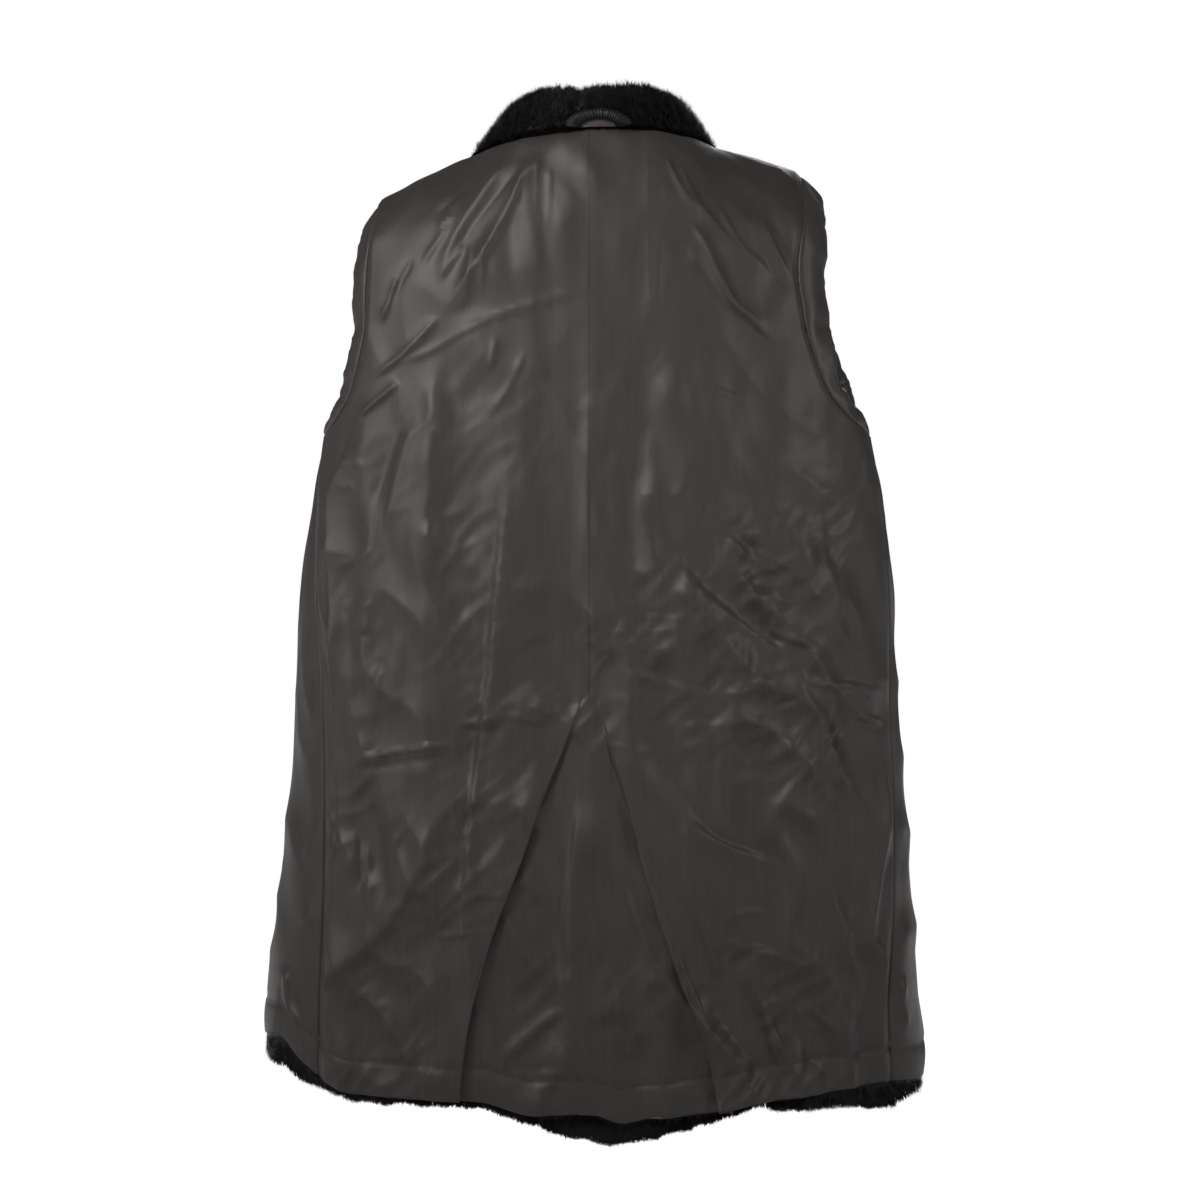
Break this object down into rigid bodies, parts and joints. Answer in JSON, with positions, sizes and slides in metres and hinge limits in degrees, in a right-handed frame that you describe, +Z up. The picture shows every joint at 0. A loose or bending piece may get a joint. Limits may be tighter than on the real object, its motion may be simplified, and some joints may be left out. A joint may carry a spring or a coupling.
{
  "type": "mink coat",
  "caption": "Knee-length mink coat worn inside out: satin lining with an inverted back pleat outside, fur inside, sleeves tucked in, stand collar and hanger loop.",
  "frame": {"origin": "on the shoulders, level with the side neck points and midway between them, where the wearer holds the coat up", "axes": "+Z up, +Y towards the wearer's front, +X towards the wearer's right"},
  "size_m": [0.7276, 0.3064, 1.1224],
  "materials": {
    "lining": "taupe-grey satin",
    "fur": "near-black mink"
  },
  "bodies": {
    "root": {"lining_back": "lining", "lining_front_left": "lining", "lining_front_right": "lining", "lining_sleeve_left": "lining", "lining_sleeve_right": "lining", "hanger_loop": "lining", "fur_back": "fur", "fur_front_left": "fur", "fur_front_right": "fur", "fur_sleeve_left": "fur", "fur_sleeve_right": "fur", "fur_collar": "fur"}
  },
  "joints": []
}
